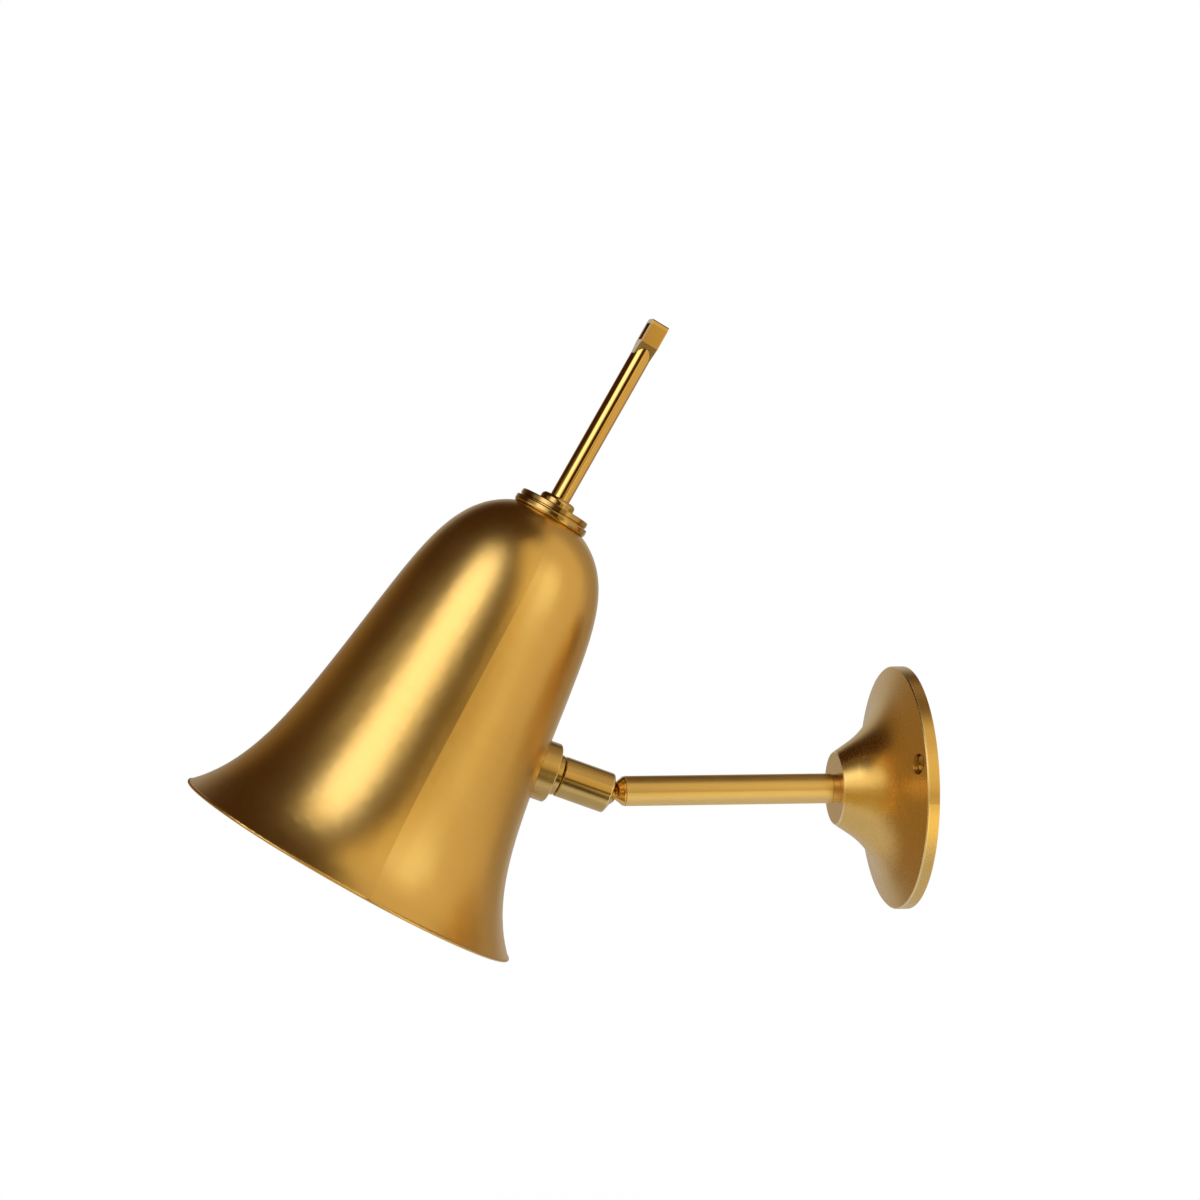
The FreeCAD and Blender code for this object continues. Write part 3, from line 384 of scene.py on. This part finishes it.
BELL_BRASS = turned_brass("bell_brass", SHADE_AXIS, 0.30, 0.7)
ROSETTE_BRASS = turned_brass("rosette_brass", WALL_AXIS, 0.27, 0.8, ROSETTE_EDGES, wells=SCREW_WELLS)
ARM_BRASS = drawn_brass("arm_brass", WALL_AXIS, 0.40, ARM_EDGES, light=ARM_PAINTED_LIT_LIGHT, deep=ARM_PAINTED_LIT_DEEP)
ROD_BRASS = drawn_brass("rod_brass", SHADE_AXIS, 0.11)
LOOP_BRASS = drawn_brass("loop_brass", SHADE_AXIS, 0.15, side_edge=LOOP_HALF_WIDTH)
BARREL_BRASS = turned_brass("barrel_brass", JOINT_AXIS, 0.14, 0.6, BARREL_EDGES, JOINT_LIGHT, JOINT_DEEP)
BOSS_BRASS = turned_brass("boss_brass", JOINT_AXIS, 0.24, 0.8, BOSS_EDGES, JOINT_LIGHT, JOINT_DEEP)
BALL_BRASS = turned_brass("ball_brass", WALL_AXIS, 0.09, 0.3)
STACK_BRASS = turned_brass("stack_brass", SHADE_AXIS, 0.18, 0.6, light=JOINT_LIGHT, deep=JOINT_DEEP)
FIXING_BRASS = plain_metal("fixing_brass", (0.78, 0.56, 0.22), (0.62, 0.42, 0.15), 0.34)
ZINC_STEEL = plain_metal("zinc_steel", (0.66, 0.66, 0.64), (0.50, 0.50, 0.50), 0.38)
SPRING_STEEL = plain_metal("spring_steel", (0.30, 0.30, 0.31), (0.20, 0.20, 0.21), 0.32)
BLACK_RUBBER = moulded("black_rubber", (0.035, 0.035, 0.035), (0.02, 0.02, 0.02), 0.7)
TERMINAL_PLASTIC = moulded("terminal_plastic", (0.78, 0.76, 0.70), (0.70, 0.68, 0.62), 0.5)
HOLDER_CERAMIC = moulded("holder_ceramic", (0.82, 0.81, 0.77), (0.76, 0.75, 0.71), 0.3, 0.6)
HOLDER_BLACK = moulded("holder_black", (0.03, 0.03, 0.03), (0.015, 0.015, 0.015), 0.35, 0.3)
CAP_ALUMINIUM = plain_metal("cap_aluminium", (0.80, 0.80, 0.81), (0.70, 0.70, 0.71), 0.25)
BULB_GLASS = frosted_glass("bulb_glass_white")

NODE_FINISHES = {
    "wall_rosette": ROSETTE_BRASS,
    "wall_bracket": ZINC_STEEL,
    "rosette_screws": FIXING_BRASS,
    "cable_grommet": BLACK_RUBBER,
    "earth_screw": FIXING_BRASS,
    "terminal_block": TERMINAL_PLASTIC,
    "terminal_screws": ZINC_STEEL,
    "arm_tube": ARM_BRASS,
    "arm_root_plug": ARM_BRASS,
    "arm_end_bush": FIXING_BRASS,
    "arm_nipple": ZINC_STEEL,
    "arm_washer": ZINC_STEEL,
    "arm_locknut": FIXING_BRASS,
    "ball_stud": BALL_BRASS,
    "stud_clip": SPRING_STEEL,
    "joint_barrel": BARREL_BRASS,
    "ball_seat": TERMINAL_PLASTIC,
    "seat_spring": SPRING_STEEL,
    "barrel_plug": FIXING_BRASS,
    "swivel_spigot": FIXING_BRASS,
    "spacer_ring": BARREL_BRASS,
    "shade_boss": BOSS_BRASS,
    "boss_washer": ZINC_STEEL,
    "boss_nut": FIXING_BRASS,
    "bell_shade": BELL_BRASS,
    "lower_cap_disc": STACK_BRASS,
    "upper_cap_disc": STACK_BRASS,
    "rod_collar": STACK_BRASS,
    "top_rod": ROD_BRASS,
    "hanging_loop": LOOP_BRASS,
    "shade_nipple": ZINC_STEEL,
    "crown_washer": ZINC_STEEL,
    "crown_nut": FIXING_BRASS,
    "holder_cap": FIXING_BRASS,
    "holder_core": HOLDER_CERAMIC,
    "holder_sleeve": HOLDER_BLACK,
    "screw_shell": FIXING_BRASS,
    "centre_contact": FIXING_BRASS,
    "bulb_cap": CAP_ALUMINIUM,
    "bulb_glass": BULB_GLASS,
}
for node_name, node_finish in NODE_FINISHES.items():
    for node_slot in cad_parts[node_name].material_slots:
        node_slot.material = node_finish


# --------------------------------------------------------------------------------------------- camera

CAMERA_DISTANCE = 1.4333
CAMERA_AIM = Vector((0, -0.154556, 0.093307))
CAMERA_SIDE = math.radians(11.0293)
CAMERA_LIFT = math.radians(4.1199)
CAMERA_ROLL = math.radians(0.744)
CAMERA_LENS = 88.867
CAMERA_SENSOR = 36.0
CAMERA_NEAR = 0.05


def set_camera():
    """The camera at the photograph's place, looking at the lamp from its side."""
    back = Vector((
        math.cos(CAMERA_LIFT) * math.cos(CAMERA_SIDE),
        -math.cos(CAMERA_LIFT) * math.sin(CAMERA_SIDE),
        math.sin(CAMERA_LIFT),
    ))
    right = (-back).cross(Vector((0, 0, 1))).normalized()
    up = back.cross(right)
    rolled_right = right * math.cos(CAMERA_ROLL) + up * math.sin(CAMERA_ROLL)
    rolled_up = up * math.cos(CAMERA_ROLL) - right * math.sin(CAMERA_ROLL)
    turn = Matrix((rolled_right, rolled_up, back)).transposed().to_4x4()
    camera = bpy.data.objects.new("camera", bpy.data.cameras.new("camera"))
    camera.data.lens = CAMERA_LENS
    camera.data.sensor_width = CAMERA_SENSOR
    camera.data.clip_start = CAMERA_NEAR
    camera.matrix_world = Matrix.Translation(CAMERA_AIM + back * CAMERA_DISTANCE) @ turn
    bpy.context.scene.collection.objects.link(camera)
    bpy.context.scene.camera = camera


# --------------------------------------------------------------------------------------------- studio

WHITE = (1.0, 1.0, 1.0)
ROOM_LIGHT = 0.8
FLOOR_PALE = (0.9, 0.9, 0.9)
FLOOR_SHARE = 0.8
FLOOR_HEIGHT = -0.42
FLOOR_RADIUS = 5.0
FLOOR_FADE_FROM = 0.25
FLOOR_FADE_TO = 0.85
TENT_RADIUS = 1.05
TENT_DARK = (0.05, 0.020, 0.005)

# The cloth behind the lamp is grey past an azimuth and between two elevations, in degrees.
TENT_BACK = (0.52, 0.50, 0.46)
TENT_BACK_FROM = 150
TENT_BACK_LOW = -50
TENT_BACK_HIGH = 26
TENT_BACK_SOFT = 12

# The tent's panels: from and to in azimuth, from and to in elevation, how soft their ends are, all in
# degrees as seen from the lamp, and their tone.  A later panel lies over the ones before it.  The brass
# takes its bright and dark bands from them.
TENT_PANELS = {
    "left_back": (-150, -84, -60, 20, 12, (0.30, 0.19, 0.07)),
    "right_back": (112, 150, -34, 62, 12, (0.40, 0.31, 0.20)),
    "right_wall": (38, 116, -30, 58, 8, (0.74, 0.60, 0.36)),
    "right_strip": (23, 40, -4, 60, 5, (0.92, 0.70, 0.32)),
    "high_right": (38, 54, 44, 62, 6, (0.80, 0.70, 0.40)),
    "right_window": (40, 68, 2, 30, 7, (1.14, 1.08, 0.76)),
    "left_wall": (-84, 6, -34, 2, 8, (0.47, 0.35, 0.12)),
    "low_left": (-78, -24, -54, -20, 8, (0.52, 0.39, 0.14)),
    "left_window": (-80, -10, 0, 30, 8, (1.12, 1.02, 0.74)),
    "high_left": (-50, -6, 14, 60, 8, (1.14, 1.06, 0.80)),
    "low_front": (-10, 48, -66, -44, 7, (0.90, 0.84, 0.66)),
    "low_right": (21, 50, -62, -12, 6, (1.32, 1.15, 0.62)),
}


def set_room():
    """A white room, dimmer to dull surfaces.  The tent hides it from shiny ones, so metal doesn't show it."""
    world = bpy.data.worlds.new("studio")
    bpy.context.scene.world = world
    room = Finish(world)
    world.cycles.sampling_method = "NONE"
    camera_ray = room.node("ShaderNodeLightPath", None, None, "Is Camera Ray")
    glossy_ray = room.node("ShaderNodeLightPath", None, None, "Is Glossy Ray")
    glass_ray = room.node("ShaderNodeLightPath", None, None, "Is Transmission Ray")
    shown_white = camera_ray.math("MAXIMUM", glossy_ray).math("MAXIMUM", glass_ray)
    strength = shown_white * (1.0 - ROOM_LIGHT) + ROOM_LIGHT
    light = room.node("ShaderNodeBackground", None, {"Color": opaque(WHITE), "Strength": strength})
    room.node("ShaderNodeOutputWorld", None, {"Surface": light})


def staged(name, build, finish):
    """A studio piece from a built mesh and its finish."""
    mesh = bpy.data.meshes.new(name)
    build.to_mesh(mesh)
    build.free()
    mesh.materials.append(finish.owner)
    piece = bpy.data.objects.new(name, mesh)
    bpy.context.scene.collection.objects.link(piece)
    return piece


def set_floor():
    """A pale round floor that keeps the lamp's shadow and fades into the white room at its edge."""
    finish = new_finish("floor_white")
    across, along, _ = finish.parts(finish.place())
    from_below = finish.node("ShaderNodeNewGeometry", None, None, "Backfacing")
    faded = length(across, along).step(FLOOR_FADE_FROM, FLOOR_FADE_TO)
    shown = (1.0 - faded) * (1.0 - from_below)
    dull = finish.node("ShaderNodeBsdfDiffuse", None, {"Color": opaque(FLOOR_PALE)})
    clear = finish.node("ShaderNodeBsdfTransparent")
    finish.ended(finish.node("ShaderNodeMixShader", None, {0: shown * FLOOR_SHARE, 1: clear, 2: dull}))
    build = bmesh.new()
    bmesh.ops.create_circle(build, cap_ends=True, segments=96, radius=FLOOR_RADIUS)
    floor = staged("floor", build, finish)
    floor.location = (0, CAMERA_AIM.y, FLOOR_HEIGHT)


def set_tent():
    """A tent round the lamp that only its shiny surfaces see: dark cloth with soft-edged lit panels."""
    finish = new_finish("tent_cloth")
    ahead, right, up = finish.parts(finish.place())
    azimuth = right.math("ARCTAN2", ahead) * math.degrees(1)
    elevation = up.math("ARCSINE") * math.degrees(1)
    behind = azimuth.math("ABSOLUTE").step(TENT_BACK_FROM - TENT_BACK_SOFT, TENT_BACK_FROM + TENT_BACK_SOFT)
    level = elevation.between(TENT_BACK_LOW, TENT_BACK_HIGH, TENT_BACK_SOFT)
    tone = finish.blend(behind * level, TENT_DARK, TENT_BACK)
    for az_from, az_to, el_from, el_to, soft, panel_tone in TENT_PANELS.values():
        inside = azimuth.between(az_from, az_to, soft) * elevation.between(el_from, el_to, soft)
        tone = finish.blend(inside, tone, panel_tone)
    finish.ended(finish.node("ShaderNodeEmission", None, {"Color": tone}))
    finish.owner.cycles.emission_sampling = "NONE"
    build = bmesh.new()
    bmesh.ops.create_uvsphere(build, u_segments=96, v_segments=48, radius=1.0)
    tent = staged("tent", build, finish)
    turn = Matrix.Rotation(-CAMERA_SIDE, 4, "Z")
    tent.matrix_world = Matrix.Translation(CAMERA_AIM) @ turn @ Matrix.Scale(TENT_RADIUS, 4)
    tent.visible_camera = False
    tent.visible_diffuse = False
    tent.visible_shadow = False
    tent.visible_transmission = False


def studio_direction(azimuth, elevation):
    """A direction from the lamp: azimuth 0 points to the camera and grows to the picture's right."""
    side = math.radians(azimuth) - CAMERA_SIDE
    lift = math.radians(elevation)
    return Vector((math.cos(lift) * math.cos(side), math.cos(lift) * math.sin(side), math.sin(lift)))


def softbox(name, azimuth, elevation, distance, width, height, radiance, colour):
    """A rectangular soft light of an even radiance, hung in a direction and turned to the lamp."""
    lamp = bpy.data.lights.new(name, "AREA")
    lamp.shape = "RECTANGLE"
    lamp.size = width
    lamp.size_y = height
    lamp.color = colour
    lamp.energy = radiance * math.pi * width * height
    holder = bpy.data.objects.new(name, lamp)
    direction = studio_direction(azimuth, elevation)
    turn = direction.to_track_quat("Z", "Y").to_matrix().to_4x4()
    holder.matrix_world = Matrix.Translation(CAMERA_AIM + direction * distance) @ turn
    holder.visible_camera = False
    bpy.context.scene.collection.objects.link(holder)


set_camera()
set_room()
set_floor()
set_tent()
softbox(
    "key_box", azimuth=-26, elevation=37, distance=1.0,
    width=0.62, height=0.58, radiance=0.85, colour=(0.96, 1.0, 1.18),
)
softbox(
    "side_box", azimuth=58, elevation=18, distance=1.0,
    width=0.36, height=0.42, radiance=0.15, colour=(1.0, 0.98, 0.92),
)
bpy.context.scene.view_settings.view_transform = "Standard"
